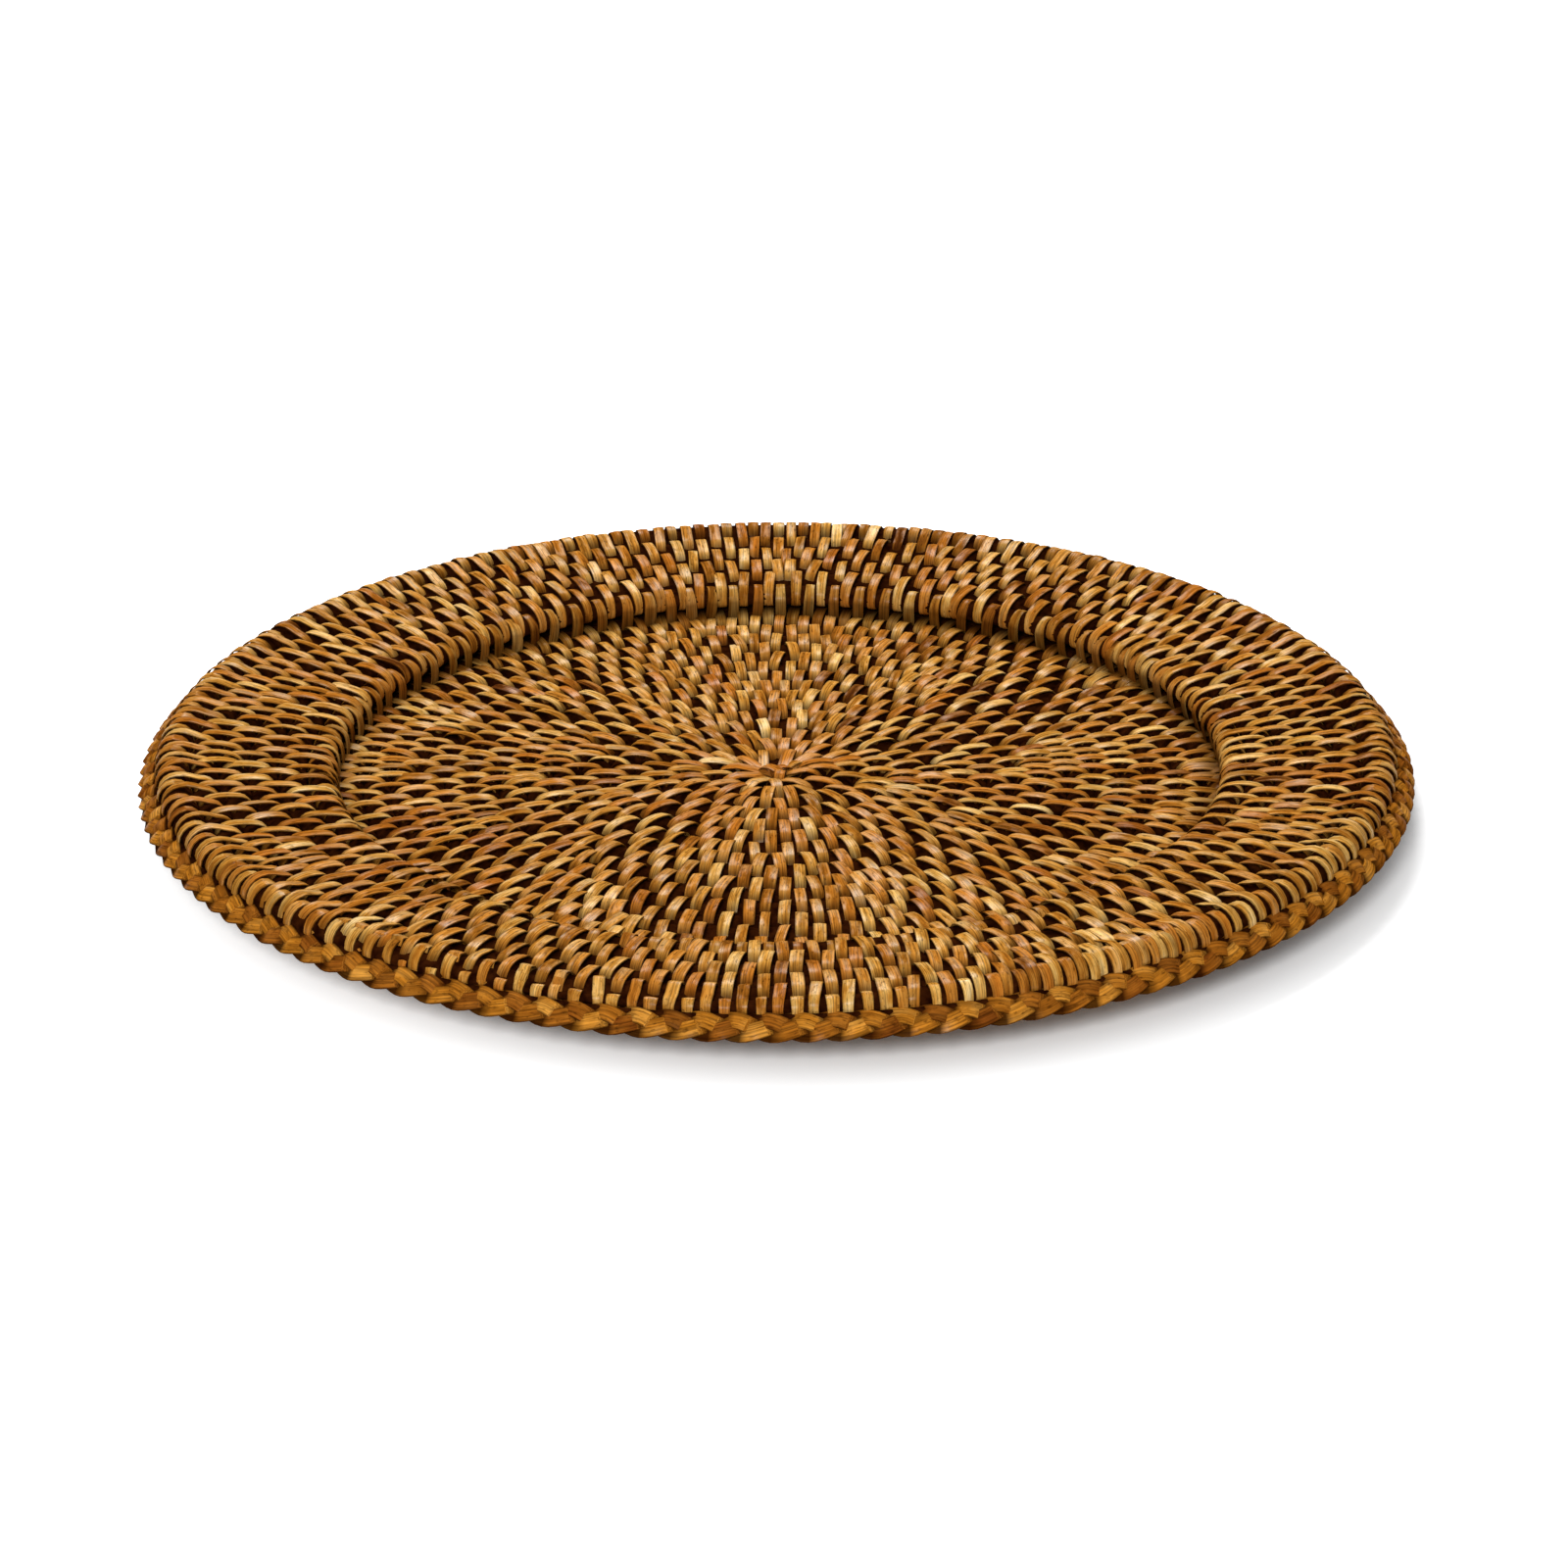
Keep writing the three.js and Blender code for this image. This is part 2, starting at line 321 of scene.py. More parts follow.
SIDE_SQUEEZE = 0.85
WIDTH_SPREAD = 0.06
ARCH_RANGE = (0.6, 1.4)
ROLL_SPREAD = 4.0
ROLLED_SINE = 0.5
TONE_MIDDLE = 0.5
TONE_SPREAD = 0.11
TONE_RANGE = (0.15, 0.78)
DARK_CHANCE = 0.025
DARK_SHARE = 0.35
WARMTH_RANGE = (-0.6, 1.0)
CENTRE_WARMTH = 0.5
LOOK_AHEAD = 0.1
LONE_SHARES = (0.5,)
PAIR_SHARES = (0.28, 0.72)
FIRST_PATIENCE = 0.5
PATIENCE_RANGE = (-0.3, 1.3)
LAST_STITCH_GAP = 0.3
EVENING_ROUNDS = 40
EVENING_KEEP = 0.2
EVENING_PULL = 0.4
NUDGE_SHARE = 0.10
WELL_INNER_END = 220
WELL_MIDDLE_END = 320
OPEN_SHARE = 0.75
WALL_FOOT = 0.0134
WALL_FADE = 0.0030
ANGLE_START = 0.1055
ANGLE_FADE = 0.013
WARM_REACH = 0.05
CHANCE_SEED = 41
chance = np.random.default_rng(CHANCE_SEED)


def strip_ring(name, steps, widths_round):
    """Closed ring of strip, with each vertex's step round it, place across and height of section."""
    bm = bmesh.new()
    verts = [bm.verts.new((RING_RADIUS + out, 0.0, across)) for across, out in STRIP_SECTION]
    edges = [bm.edges.new((verts[index - 1], vert)) for index, vert in enumerate(verts)]
    bmesh.ops.spin(
        bm,
        geom=verts + edges,
        cent=(0.0, 0.0, 0.0),
        axis=(0.0, 0.0, 1.0),
        angle=math.tau,
        steps=steps,
        use_merge=True,
    )
    bmesh.ops.recalc_face_normals(bm, faces=bm.faces)
    bm.verts.index_update()
    places = np.array([vert.co for vert in bm.verts])
    turned = np.arctan2(places[:, 1], places[:, 0]) / math.tau
    step = np.rint(turned * steps).astype(int) % steps
    across = places[:, 2]
    out = np.hypot(places[:, 0], places[:, 1]) - RING_RADIUS
    grain = bm.loops.layers.uv.new("grain")
    for face in bm.faces:
        face.smooth = True
        numbers = [int(step[loop.vert.index]) for loop in face.loops]
        closes = max(numbers) - min(numbers) > 1
        for loop, number in zip(face.loops, numbers):
            along = steps if closes and number == 0 else number
            loop[grain].uv = (along / steps * widths_round, across[loop.vert.index] + 0.5)
    return finished_mesh(name, bm), step, across, out


stitch_ring, ring_step, ring_across, ring_out = strip_ring(
    "stitch_ring", len(STITCH_LOOP), STITCH_WIDTHS_ROUND
)


def mark_strips(mesh, tone, warmth, painted_shade):
    """Per-vertex values that the strips' finish reads."""
    for label, values in (("tone", tone), ("warmth", warmth), ("painted_shade", painted_shade)):
        attribute = mesh.attributes.new(label, "FLOAT", "POINT")
        attribute.data.foreach_set("value", values.astype(np.float32))


def cut_strips(count):
    """Width, arch and roll of each strip, as no two are cut and pulled alike."""
    width = STRIP_WIDTH * chance.normal(1.0, WIDTH_SPREAD, count)
    arch = STRIP_ARCH * chance.uniform(*ARCH_RANGE, count)
    return width, arch, np.radians(chance.normal(0.0, ROLL_SPREAD, count))


def stain_strips(places):
    """Tone and warmth of each strip, a few of them dark, and warmer near the pole."""
    count = len(places)
    tone = np.clip(chance.normal(TONE_MIDDLE, TONE_SPREAD, count), *TONE_RANGE)
    tone = np.where(chance.uniform(0.0, 1.0, count) < DARK_CHANCE, tone * DARK_SHARE, tone)
    central = 1.0 - ease(np.hypot(places[:, 0], places[:, 1]) / WARM_REACH)
    warmth = np.clip(chance.uniform(*WARMTH_RANGE, count) + CENTRE_WARMTH * central, 0.0, 1.0)
    return tone, warmth


def lay_strips(name, near, far, reach, run, wide, high, open_sides, finish, foot=0.0, slack=1.0):
    """Loops of strip round pairs of cane centres, as one mesh, or wraps where the two are one."""
    count = len(near)
    half = np.linalg.norm(far - near, axis=1) / 2
    up = unit(np.cross(run, reach))
    along = np.cross(reach, up)
    ends = np.array([end for end, _ in STITCH_LOOP])
    turn = np.radians([degrees for _, degrees in STITCH_LOOP])
    width, arch, roll = cut_strips(count)
    tone, warmth = stain_strips(near)
    level = np.hypot(reach[:, 0], reach[:, 1])[:, None]
    side = np.hypot(wide * level, high * reach[:, 2:])
    top = np.hypot(high * level, wide * reach[:, 2:])
    side = np.where(ends > 0, side[:, 1:], side[:, :1])
    top = np.where(ends > 0, top[:, 1:], np.where(ends < 0, top[:, :1], top.mean(1, keepdims=True)))
    reach_to = ends * half[:, None] + side * np.cos(turn)
    height = top * np.sin(turn)
    span = half[:, None] + side
    bow = slack * arch[:, None] * (1.0 - (reach_to / span) ** 2)
    height = height + bow * (np.sin(turn) > 0.0)
    thick = ring_out * STRIP_THICKNESS
    reach_to = reach_to[:, ring_step] + np.cos(turn)[ring_step] * thick
    height = height[:, ring_step] + np.sin(turn)[ring_step] * thick
    squeeze = mix(1.0, SIDE_SQUEEZE, np.cos(turn) ** 2)[ring_step]
    aside = width[:, None] * ring_across * squeeze
    height = height + aside * np.tan(roll)[:, None] * (np.sin(turn) > ROLLED_SINE)[ring_step]
    middle = (near + far) / 2
    places = (
        middle[:, None, :]
        + reach[:, None, :] * reach_to[..., None]
        + up[:, None, :] * height[..., None]
        + along[:, None, :] * aside[..., None]
    )
    # Painted shade: darker where the strip goes down into the groove between canes, less where the
    # cane's side lies open.
    shut = 1.0 - OPEN_SHARE * np.where(ends > 0, open_sides[:, 1:], open_sides[:, :1])
    painted_shade = (np.abs(np.cos(turn)) ** GROOVE_ONSET * shut)[:, ring_step]
    # Painted shade at the foot of the wall and in its angle with the well: darker below a level and
    # outward of a radius.
    low = ease((foot - places[..., 2]) / WALL_FADE)
    in_angle = ease((np.hypot(places[..., 0], places[..., 1]) - ANGLE_START) / ANGLE_FADE)
    painted_shade = np.maximum(painted_shade, low * in_angle)
    bm = bmesh.new()
    for _ in range(count):
        bm.from_mesh(stitch_ring)
    mesh = finished_mesh(name, bm)
    mesh.vertices.foreach_set("co", places.astype(np.float32).ravel())
    tone, warmth = (np.repeat(values, len(ring_step)) for values in (tone, warmth))
    mark_strips(mesh, tone, warmth, painted_shade.ravel())
    mesh.update()
    mesh.set_sharp_from_angle(angle=STRIP_EDGE)
    show(name, mesh, finish)


def sew_strips(name, near_steps, far_steps, finish, foot=0.0):
    """Stitches over the cane at pairs of steps along its winding."""
    near, far = coil_point(near_steps), coil_point(far_steps)
    ahead = sum(
        coil_point(steps + LOOK_AHEAD) - coil_point(steps - LOOK_AHEAD)
        for steps in (near_steps, far_steps)
    )
    wraps = np.linalg.norm(far - near, axis=1) < CORE_HALF_WIDTH
    reach = unit(np.where(wraps[:, None], from_pole(near), far - near))
    halves = zip(core_halves(near_steps), core_halves(far_steps))
    wide, high = (np.stack(pair, axis=1) for pair in halves)
    open_sides = np.stack((bared(near_steps), bared(far_steps)), axis=1)
    lay_strips(name, near, far, reach, unit(ahead), wide, high, open_sides, finish, foot)


def sewing_order():
    """Steps on the inner and the outer turn of every stitch, in the order in which they are sewn."""
    ends = [0.0]
    while ends[-1] < STEPS_PER_TURN:
        ends.append(ends[-1] + STITCH_PITCH / (coil_at(ends[-1])[0] * STEP_ANGLE))
    first = len(ends)
    gaps, shares = [], []
    owed = 0.0
    patience = FIRST_PATIENCE
    index = 0
    while ends[-1] < RIM_END - LAST_STITCH_GAP:
        here, there = ends[index], ends[index + 1]
        radius = coil_at(there + STEPS_PER_TURN)[0]
        gap = (there - here) * STEP_ANGLE * radius / STITCH_PITCH
        owed += gap - 1.0
        paired = owed > patience and gap > 1.0
        if paired:
            owed -= 1.0
            patience = chance.uniform(*PATIENCE_RANGE)
        for share in PAIR_SHARES if paired else LONE_SHARES:
            gaps.append(index)
            shares.append(share)
            ends.append(mix(here, there, share) + STEPS_PER_TURN)
        index += 1
    ends, gaps, shares = np.array(ends), np.array(gaps), np.array(shares)
    for _ in range(EVENING_ROUNDS):
        straight = mix(ends[gaps], ends[gaps + 1], shares) + STEPS_PER_TURN
        between = (ends[first - 1 : -2] + ends[first + 1 :]) / 2
        kept = ends[first:-1] * EVENING_KEEP
        ends[first:-1] = kept + between * EVENING_PULL + straight[:-1] * EVENING_PULL
    return ends[:first], mix(ends[gaps], ends[gaps + 1], shares), ends[first:]


def reckon(tree, operation, *values, **settings):
    """Outcome of a sum on values or sockets."""
    node = place_node(tree, "Math", dict(enumerate(values)), operation=operation, **settings)
    return node.outputs["Value"]


SEED_SPACING = 61.0
FIBRE_PATTERNS = (
    ("Streak", (0.22, 6.0, 1.0), 1.6, 4.0),
    ("Blotch", (0.35, 0.9, 1.0), 1.3, 3.0),
    ("Speck", (1.3, 3.2, 1.0), 1.7, 2.0),
    ("Height", (0.10, 15.0, 1.0), 1.4, 2.0),
)


def fibre_group():
    """Grain of split rattan: streaks along it and soft blotches, from a strip's own map and seed."""
    group = bpy.data.node_groups.new("split_rattan_fibre", "ShaderNodeTree")
    for name, kind in (("Grain Map", "NodeSocketVector"), ("Seed", "NodeSocketFloat")):
        group.interface.new_socket(name, in_out="INPUT", socket_type=kind)
    for name, *_ in FIBRE_PATTERNS:
        group.interface.new_socket(name, in_out="OUTPUT", socket_type="NodeSocketFloat")
    start = group.nodes.new("NodeGroupInput")
    finish = group.nodes.new("NodeGroupOutput")
    split = place_node(group, "SeparateXYZ", {"Vector": start.outputs["Grain Map"]})
    shift = reckon(group, "MULTIPLY", start.outputs["Seed"], SEED_SPACING)
    along, across = split.outputs["X"], split.outputs["Y"]
    spots = place_node(group, "CombineXYZ", {"X": along, "Y": across, "Z": shift})
    for name, squash, scale, detail in FIBRE_PATTERNS:
        drawn = place_node(group, "Mapping", {"Vector": spots.outputs["Vector"], "Scale": squash})
        fibres = pattern(group, drawn.outputs["Vector"], scale, detail)
        group.links.new(fibres, finish.inputs[name])
    return group


fibre = fibre_group()
STRIP_SHEEN = {"Specular IOR Level": 0.0, "Coat Roughness": 0.28}
STRIP_GROOVE_SHADE = 0.95
STRIP_LACQUER = 0.34
STRIP_TONES = (
    (0.00, (0.110, 0.030, 0.005)),
    (0.25, (0.350, 0.122, 0.012)),
    (0.50, (0.560, 0.250, 0.038)),
    (0.75, (0.790, 0.450, 0.115)),
    (1.00, (0.890, 0.610, 0.260)),
)
WARM_STAIN = (0.500, 0.150, 0.016)
WARM_SHARE = 0.6
SHADE_AND_SPECK_COLOUR = (0.014, 0.0020, 0.0004)
BLOTCH_SPAN = (0.25, 0.75)
BLOTCH_SHIFT = (-0.3, 0.3)
STREAK_SPAN = (0.35, 0.65)
STREAK_SHADES = (0.5, 1.32)
SPECK_SPAN = (0.56, 0.72)
SPECK_STAIN = (0.0, 0.6)
STRIP_MIDDLE = 0.5
EDGE_SPAN = (0.40, 0.5)
EDGE_SHADE = (0.0, 0.8)
ROUGH_SPAN = (0.3, 0.7)
ROUGHNESS = (0.6, 0.42)
UNWORN_SPAN = (0.42, 0.66)
FIBRE_RELIEF = {"Strength": 0.35, "Distance": 0.0003}
MIX_FROM = 6
MIX_TO = 7
MIX_RESULT = 2


def tint_towards(tree, share, base, colour):
    """Base colour turned towards another colour by a share; it gives the warm stain and the painted
    shade.
    """
    inputs = {"Factor": share, MIX_FROM: base, MIX_TO: (*colour, 1.0)}
    return place_node(tree, "Mix", inputs, data_type="RGBA").outputs[MIX_RESULT]


def strip_finish(name, tones, groove_shade, lacquer):
    """Lacquered split rattan: a colour for each strip, streaked along it, with painted shade in the
    grooves.
    """
    material, tree, shader = new_finish(name, STRIP_SHEEN)
    tone = place_node(tree, "Attribute", attribute_name="tone").outputs["Fac"]
    painted_shade = place_node(tree, "Attribute", attribute_name="painted_shade").outputs["Fac"]
    grain_map = place_node(tree, "UVMap", uv_map="grain").outputs["UV"]
    fibres = place_node(tree, "Group", node_tree=fibre)
    tree.links.new(grain_map, fibres.inputs["Grain Map"])
    tree.links.new(tone, fibres.inputs["Seed"])
    streak, blotch = fibres.outputs["Streak"], fibres.outputs["Blotch"]
    offset = stretch(tree, blotch, BLOTCH_SPAN, BLOTCH_SHIFT)
    shade = reckon(tree, "ADD", tone, offset, use_clamp=True)
    warmth = place_node(tree, "Attribute", attribute_name="warmth").outputs["Fac"]
    warmth = reckon(tree, "MULTIPLY", warmth, WARM_SHARE)
    colour = tint_towards(tree, warmth, colour_ramp(tree, shade, tones), WARM_STAIN)
    lines = stretch(tree, streak, STREAK_SPAN, STREAK_SHADES)
    streaked = place_node(tree, "VectorMath", {0: colour, "Scale": lines}, operation="SCALE")
    speckled = stretch(tree, fibres.outputs["Speck"], SPECK_SPAN, SPECK_STAIN)
    across = place_node(tree, "SeparateXYZ", {"Vector": grain_map}).outputs["Y"]
    from_middle = reckon(tree, "ABSOLUTE", reckon(tree, "SUBTRACT", across, STRIP_MIDDLE))
    # Painted shade along both edges of each strip.
    edge = stretch(tree, from_middle, EDGE_SPAN, EDGE_SHADE)
    # The painted shade of the grooves and edges, with the real dark specks, turns the colour towards
    # one dark colour.
    shade_and_specks = reckon(tree, "MULTIPLY", painted_shade, groove_shade)
    for mask in (speckled, edge):
        shade_and_specks = reckon(tree, "MAXIMUM", shade_and_specks, mask)
    shaded_and_specked = tint_towards(tree, shade_and_specks, streaked.outputs["Vector"], SHADE_AND_SPECK_COLOUR)
    rough = stretch(tree, streak, ROUGH_SPAN, ROUGHNESS)
    unworn = stretch(tree, blotch, UNWORN_SPAN, (0.0, lacquer))
    gloss = reckon(tree, "MULTIPLY", unworn, reckon(tree, "SUBTRACT", 1.0, shade_and_specks))
    bump = place_node(tree, "Bump", {"Height": fibres.outputs["Height"], **FIBRE_RELIEF})
    tree.links.new(shaded_and_specked, shader.inputs["Base Color"])
    tree.links.new(rough, shader.inputs["Roughness"])
    tree.links.new(gloss, shader.inputs["Coat Weight"])
    tree.links.new(bump.outputs["Normal"], shader.inputs["Normal"])
    return material


honey_strip = strip_finish("honey_strip", STRIP_TONES, STRIP_GROOVE_SHADE, STRIP_LACQUER)

eye_ends, inner_ends, outer_ends = sewing_order()
nudge = STRIP_WIDTH / STEP_ANGLE * NUDGE_SHARE
inner_steps = inner_ends + chance.normal(0.0, nudge, len(inner_ends)) / coil_at(inner_ends)[0]
outer_steps = outer_ends + chance.normal(0.0, nudge, len(outer_ends)) / coil_at(outer_ends)[0]
for name, first, last in (
    ("well_strips_inner", 0, WELL_INNER_END),
    ("well_strips_middle", WELL_INNER_END, WELL_MIDDLE_END),
    ("well_strips_outer", WELL_MIDDLE_END, CLIMB_START),
    ("wall_strips", CLIMB_START, CLIMB_END + STEPS_PER_TURN),
    ("flange_strips", CLIMB_END + STEPS_PER_TURN, RIM_START),
    ("rim_strips", RIM_START, RIM_END),
):
    here = (outer_ends >= first) & (outer_ends < last)
    foot = WALL_FOOT if last <= CLIMB_END + STEPS_PER_TURN else 0.0
    sew_strips(name, inner_steps[here], outer_steps[here], honey_strip, foot)

# Rim wraps: short strips that bind the outermost turn alone, one between each two stitches.
# They finish the edge and go down behind the plaited border, which they hold.
WRAP_BULGE = 0.0007
WRAP_SLACK = 0.5
WRAP_LEAD = 2.0
LAST_WRAP_GAP = 0.12
WRAP_OPEN_SIDES = (0.0, 1.0)


def clockwise(outward):
    """Level directions along the winding, square to outward ones."""
    return np.stack((outward[:, 1], -outward[:, 0], np.zeros(len(outward))), axis=1)


edge_ends = outer_ends[outer_ends > RIM_START - WRAP_LEAD]
wrap_steps = np.append((edge_ends[:-1] + edge_ends[1:]) / 2, RIM_END - LAST_WRAP_GAP)
wrap_near = coil_point(wrap_steps)
wrap_out = from_pole(wrap_near)
wide, high = (np.stack((half, half), axis=1) for half in core_halves(wrap_steps))
lay_strips(
    "rim_wraps",
    wrap_near,
    wrap_near + wrap_out * WRAP_BULGE,
    wrap_out,
    clockwise(wrap_out),
    wide,
    high,
    np.tile(WRAP_OPEN_SIDES, (len(wrap_steps), 1)),
    honey_strip,
    slack=WRAP_SLACK,
)

# Centre knot: a plug of strip ends in the eye of the first turn, with the core's dark finish, which is
# partly painted shade.
# The first round of strips radiates from it over the first turn, and a few short ones cross on top.
KNOT_PLUG = ((0.0, 0.0054), (0.0032, 0.0051), (0.0057, 0.0038), (0.0057, 0.0008), (0.0, 0.0004))
KNOT_SIDES = 14
KNOT_TURNS = (25, 82, 140)
KNOT_REACH = (0.0016, 0.0012, 0.0020)
KNOT_LEVELS = (0.0046, 0.0050, 0.0053)
KNOT_SHIFTS = ((0.0014, 0.0016), (0.0010, -0.0022), (-0.0012, 0.0002))
KNOT_HALF = 0.0017
KNOT_OPENNESS = 0.3
EYE_LEVEL = 0.0040
EYE_HOLD_RANGE = (0.0020, 0.0046)
EYE_SLIP_SPREAD = 0.0013
MERGE_DISTANCE = 1e-6
bm = bmesh.new()
verts = [bm.verts.new((radius, 0.0, level)) for radius, level in KNOT_PLUG]
edges = [bm.edges.new(pair) for pair in zip(verts, verts[1:])]
bmesh.ops.spin(
    bm,
    geom=verts + edges,
    cent=(0.0, 0.0, 0.0),
    axis=(0.0, 0.0, 1.0),
    angle=math.tau,
    steps=KNOT_SIDES,
    use_merge=True,
)
bmesh.ops.remove_doubles(bm, verts=bm.verts, dist=MERGE_DISTANCE)
bmesh.ops.recalc_face_normals(bm, faces=bm.faces)
plug = show("centre_knot_plug", finished_mesh("centre_knot_plug", bm), core_finish)
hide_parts("centre_knot")

eye_far = coil_point(eye_ends)
eye_out = from_pole(eye_far)
eye_side = clockwise(eye_out)
eye_hold = chance.uniform(*EYE_HOLD_RANGE, len(eye_ends))
eye_slip = chance.normal(0.0, EYE_SLIP_SPREAD, len(eye_ends))
eye_near = eye_out * eye_hold[:, None] + eye_side * eye_slip[:, None] + np.array((0.0, 0.0, EYE_LEVEL))
knot_reach = round_pole(1.0, np.radians(KNOT_TURNS), 0.0)
knot_middle = np.column_stack((np.array(KNOT_SHIFTS), np.array(KNOT_LEVELS)))
knot_half = knot_reach * np.array(KNOT_REACH)[:, None]
near = np.concatenate((eye_near, knot_middle - knot_half))
far = np.concatenate((eye_far, knot_middle + knot_half))
wide = np.full((len(near), 2), KNOT_HALF)
high = np.full((len(near), 2), KNOT_HALF)
wide[: len(eye_far), 1], high[: len(eye_far), 1] = core_halves(eye_ends)
lay_strips(
    "centre_knot_strips",
    near,
    far,
    unit(far - near),
    np.concatenate((eye_side, clockwise(knot_reach))),
    wide,
    high,
    np.full((len(near), 2), KNOT_OPENNESS),
    honey_strip,
)

# Border cane: a thin cane laid against the lower outside of the rim, with the core's finish, which is
# partly painted shade.
# The plaited border is drawn over it, and it fills the angle between the two.
BORDER_CANE_HALVES = (0.0015, 0.0026)
BORDER_CANE_RADIUS = 0.1594
BORDER_CANE_DROP = 0.0029
BORDER_CANE_RINGS = 145
rim_level = float(coil_at(RIM_START)[1])
cane_angle = np.linspace(0.0, math.tau, BORDER_CANE_RINGS)
cane_line = round_pole(BORDER_CANE_RADIUS, cane_angle, rim_level - BORDER_CANE_DROP)
border_cane = cane_tube("border_cane", cane_line, BORDER_CANE_HALVES)
show("border_cane", border_cane, core_finish)

# Plaited border: three flat strips braided into a flat band along the lower outside of the rim.
# The same split rattan, stained redder, drawn tight against the outermost turn.
BORDER_STRANDS = 3
BORDER_REPEATS = 45
BORDER_STEPS_PER_REPEAT = 16
BORDER_STRIP_WIDTH = 0.0041
BORDER_STRIP_THICKNESS = 0.0005
BORDER_SWING = 0.0016
BORDER_WEAVE = 0.00060
BORDER_RADIUS = 0.1617
BORDER_DROP = 0.0024
BORDER_TILT = math.radians(48)
BORDER_CROWN = 0.0005
BORDER_GROOVE_SHADE = 0.9
BORDER_LACQUER = 0.3
BORDER_WARMTH = 0.2
LEAF_SHADE = 0.6
LEAF_SHADE_SWING = 1.5
LEAF_TONE = 0.5
LEAF_TONE_SWING = 0.3
LEAF_STEP = 12.9898
STRAND_STEP = 4.1
BORDER_TONES = (
    (0.00, (0.130, 0.033, 0.004)),
    (0.35, (0.300, 0.100, 0.008)),
    (0.65, (0.430, 0.160, 0.013)),
    (1.00, (0.660, 0.300, 0.043)),
)
border_gloss = strip_finish("border_strip", BORDER_TONES, BORDER_GROOVE_SHADE, BORDER_LACQUER)
border_steps = BORDER_REPEATS * BORDER_STEPS_PER_REPEAT
border_length = math.tau * BORDER_RADIUS
for strand in range(BORDER_STRANDS):
    mesh, step, across, out = strip_ring(
        f"border_strand_{strand + 1}", border_steps, border_length / BORDER_STRIP_WIDTH
    )
    phase = math.tau * (step / BORDER_STEPS_PER_REPEAT + strand / BORDER_STRANDS)
    slant = np.arctan(BORDER_SWING * np.cos(phase) * math.tau * BORDER_REPEATS / border_length)
    aside = across * BORDER_STRIP_WIDTH
    around = step / border_steps * math.tau - np.sin(slant) * aside / BORDER_RADIUS
    rise = BORDER_SWING * np.sin(phase) + np.cos(slant) * aside
    lift = out * BORDER_STRIP_THICKNESS - BORDER_WEAVE * np.sin(2.0 * phase)
    lift = lift - BORDER_CROWN * (rise / (BORDER_SWING + BORDER_STRIP_WIDTH / 2)) ** 2
    radius = BORDER_RADIUS + lift * math.cos(BORDER_TILT) - rise * math.sin(BORDER_TILT)
    level = rim_level - BORDER_DROP + lift * math.sin(BORDER_TILT) + rise * math.cos(BORDER_TILT)
    places = round_pole(radius, around, level)
    mesh.vertices.foreach_set("co", places.astype(np.float32).ravel())
    # Painted shade where each leaf of the plait passes under the next.
    painted_shade = np.clip(LEAF_SHADE + LEAF_SHADE_SWING * np.sin(2.0 * phase), 0.0, 1.0)
    leaf = np.floor(phase / math.tau * 2.0)
    tone = LEAF_TONE + LEAF_TONE_SWING * np.sin(leaf * LEAF_STEP + strand * STRAND_STEP)
    mark_strips(mesh, tone, np.full(len(tone), BORDER_WARMTH), painted_shade)
    mesh.update()
    mesh.set_sharp_from_angle(angle=STRIP_EDGE)
    show(mesh.name, mesh, border_gloss)
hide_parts("plaited_border")

# Studio: a plain white floor with a glow that paints the edge of its shadow near the plate, and a white
# surround.
# A large soft light hangs behind the plate, a smaller one in front, and a faint one low behind.
FLOOR_HALF = 4.0
SHADE_CENTRE = (0.012, 0.0, 0.0)
SHADE_REACH = (0.138, 0.178)
SHADE_GLOW = (0.05, 0.64)
SURROUND_STRENGTH = 0.31
WHITE = (1.0, 1.0, 1.0, 1.0)
bm = bmesh.new()
bmesh.ops.create_grid(bm, x_segments=1, y_segments=1, size=FLOOR_HALF)
floor_mesh = finished_mesh("studio_floor", bm)
floor = bpy.data.objects.new("studio_floor", floor_mesh)
bpy.context.collection.objects.link(floor)
floor_white, tree, shader = new_finish(
    "studio_white", {"Base Color": (0.86, 0.86, 0.86, 1.0), "Roughness": 0.9, "Specular IOR Level": 0.1}
)
rays = place_node(tree, "LightPath")
seen = rays.outputs["Is Camera Ray"]
for kind in ("Is Glossy Ray", "Is Transmission Ray"):
    seen = reckon(tree, "MAXIMUM", seen, rays.outputs[kind])
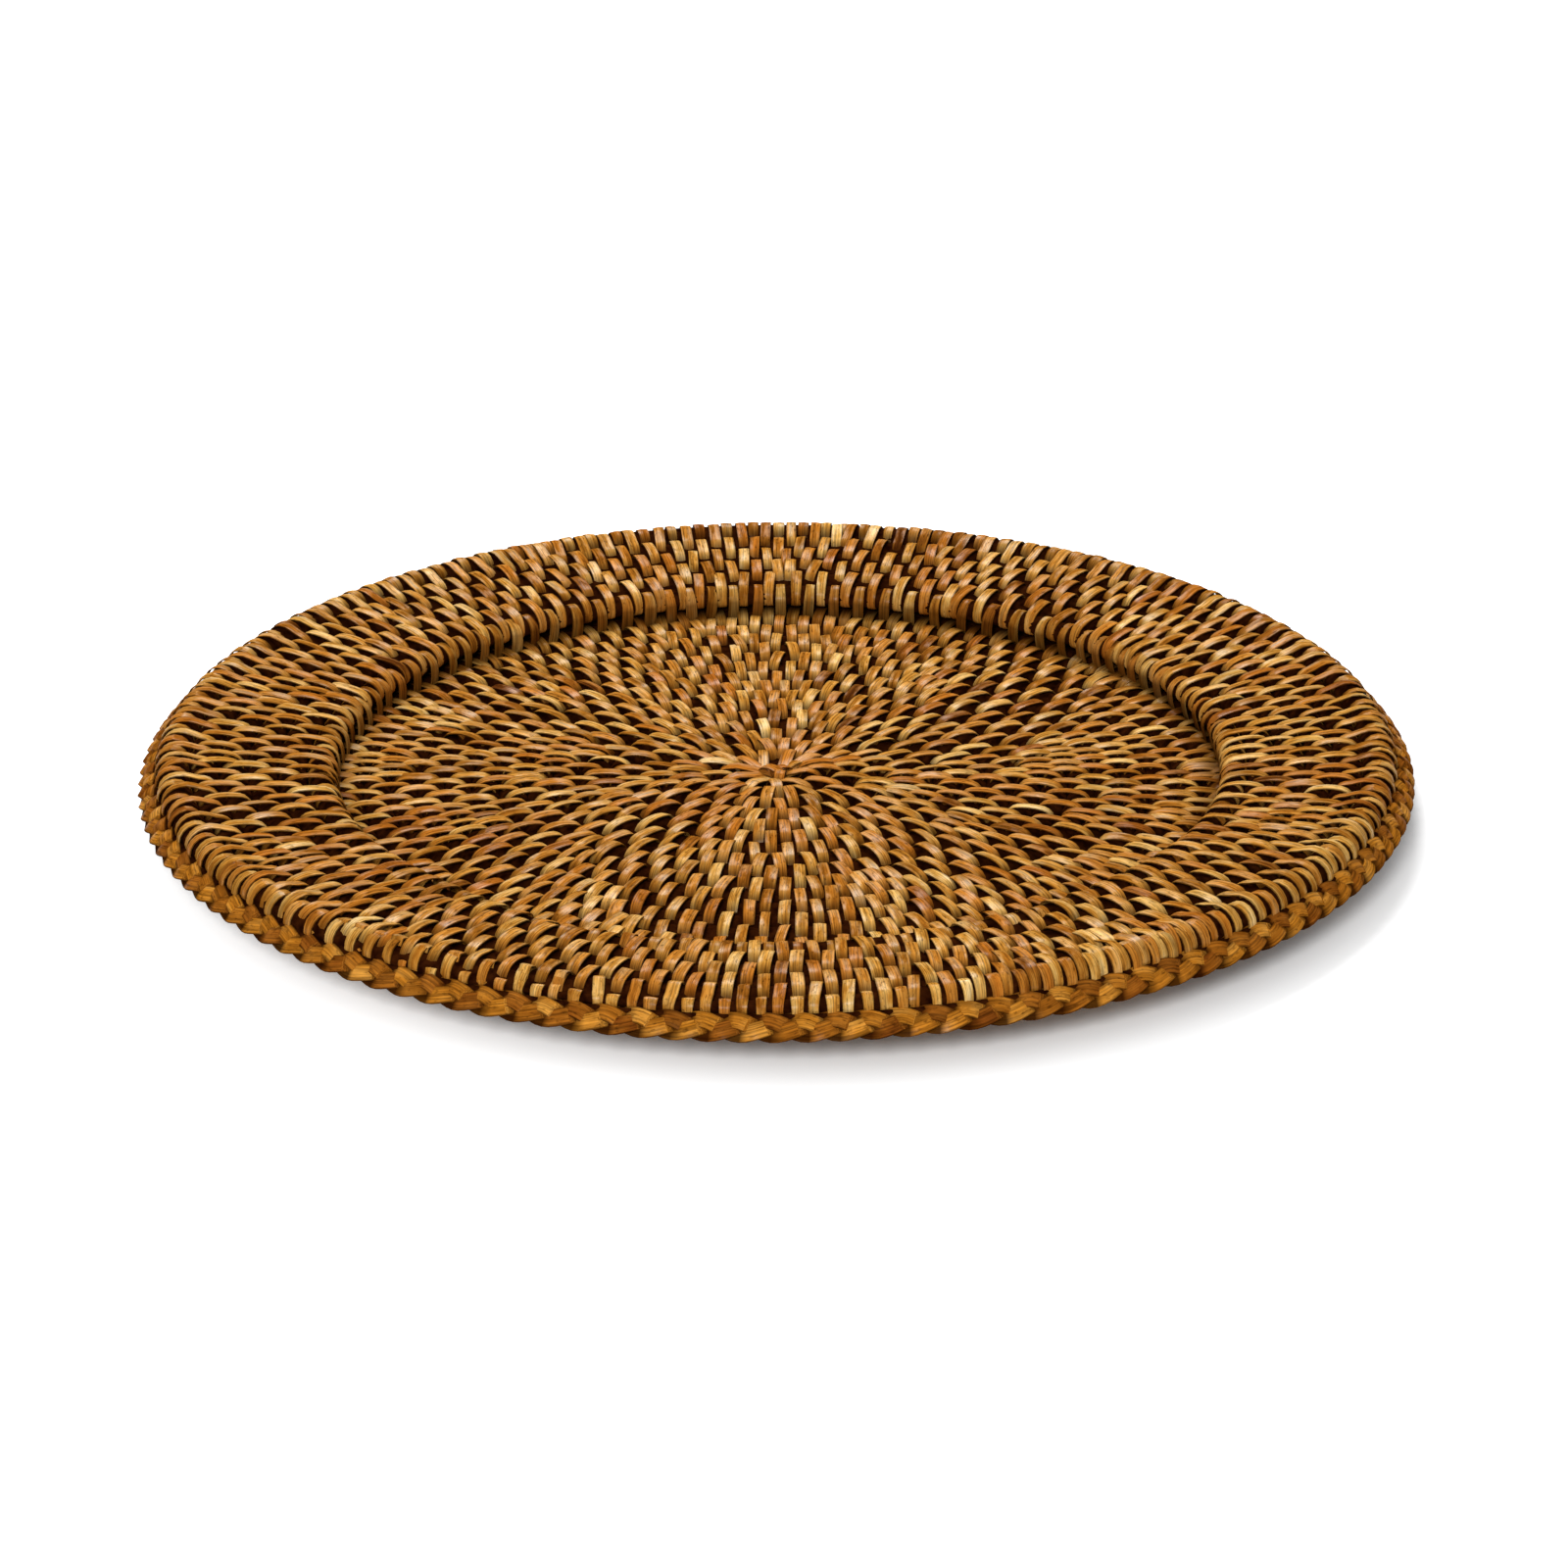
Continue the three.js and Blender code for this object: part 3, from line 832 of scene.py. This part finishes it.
# Painted shadow edge: the floor's glow is faint within a ring round a point beside the plate's middle
# and rises outside it.
coords = place_node(tree, "TexCoord")
shaded = place_node(
    tree, "VectorMath", {0: coords.outputs["Object"], 1: SHADE_CENTRE}, operation="SUBTRACT"
)
away = place_node(tree, "VectorMath", {0: shaded.outputs["Vector"]}, operation="LENGTH")
painted_shadow_glow = stretch(
    tree, away.outputs["Value"], SHADE_REACH, SHADE_GLOW, interpolation_type="SMOOTHSTEP"
)
glow = reckon(tree, "MULTIPLY", seen, painted_shadow_glow)
shader.inputs["Emission Color"].default_value = WHITE
tree.links.new(glow, shader.inputs["Emission Strength"])
floor_mesh.materials.append(floor_white)

world = bpy.data.worlds.new("studio_surround")
bpy.context.scene.world = world
world.use_nodes = True
surround = world.node_tree.nodes["Background"]
surround.inputs["Color"].default_value = WHITE
surround.inputs["Strength"].default_value = SURROUND_STRENGTH


def hang_light(name, place, size, watts):
    """Round soft light that faces the middle of the plate."""
    light = bpy.data.lights.new(name, "AREA")
    light.shape = "DISK"
    light.size = size
    light.energy = watts
    lamp = bpy.data.objects.new(name, light)
    lamp.location = place
    lamp.rotation_euler = (-Vector(place)).to_track_quat("-Z", "Y").to_euler()
    bpy.context.collection.objects.link(lamp)


hang_light("key_softbox", (-0.10, 1.10, 1.20), size=0.8, watts=22.0)
hang_light("front_softbox", (-0.20, -1.35, 0.83), size=0.4, watts=15.5)
hang_light("back_softbox", (-0.10, 1.50, 0.42), size=1.0, watts=1.8)

# Camera: a long lens in front of the plate and above it, at the photograph's angle.
CAMERA_ELEVATION = math.radians(23.0)
CAMERA_DISTANCE = 1.122
CAMERA_TARGET = Vector((0.0, 0.0, 0.007))
CAMERA_AIM = (0.0020, -0.0033)
CAMERA_ROLL = math.radians(-0.29)
CAMERA_LENS = 99.0
CAMERA_SENSOR = 36.0
back = Vector((0.0, -math.cos(CAMERA_ELEVATION), math.sin(CAMERA_ELEVATION)))
above = Vector((0.0, math.sin(CAMERA_ELEVATION), math.cos(CAMERA_ELEVATION)))
place = CAMERA_TARGET + back * CAMERA_DISTANCE
aim = CAMERA_TARGET + Vector((CAMERA_AIM[0], 0.0, 0.0)) + above * CAMERA_AIM[1]
camera_data = bpy.data.cameras.new("camera")
camera_data.lens = CAMERA_LENS
camera_data.sensor_width = CAMERA_SENSOR
camera = bpy.data.objects.new("camera", camera_data)
camera.location = place
camera.rotation_euler = (aim - place).to_track_quat("-Z", "Y").to_euler()
camera.rotation_euler.rotate_axis("Z", CAMERA_ROLL)
bpy.context.collection.objects.link(camera)
bpy.context.scene.camera = camera
bpy.context.scene.view_settings.view_transform = "Standard"
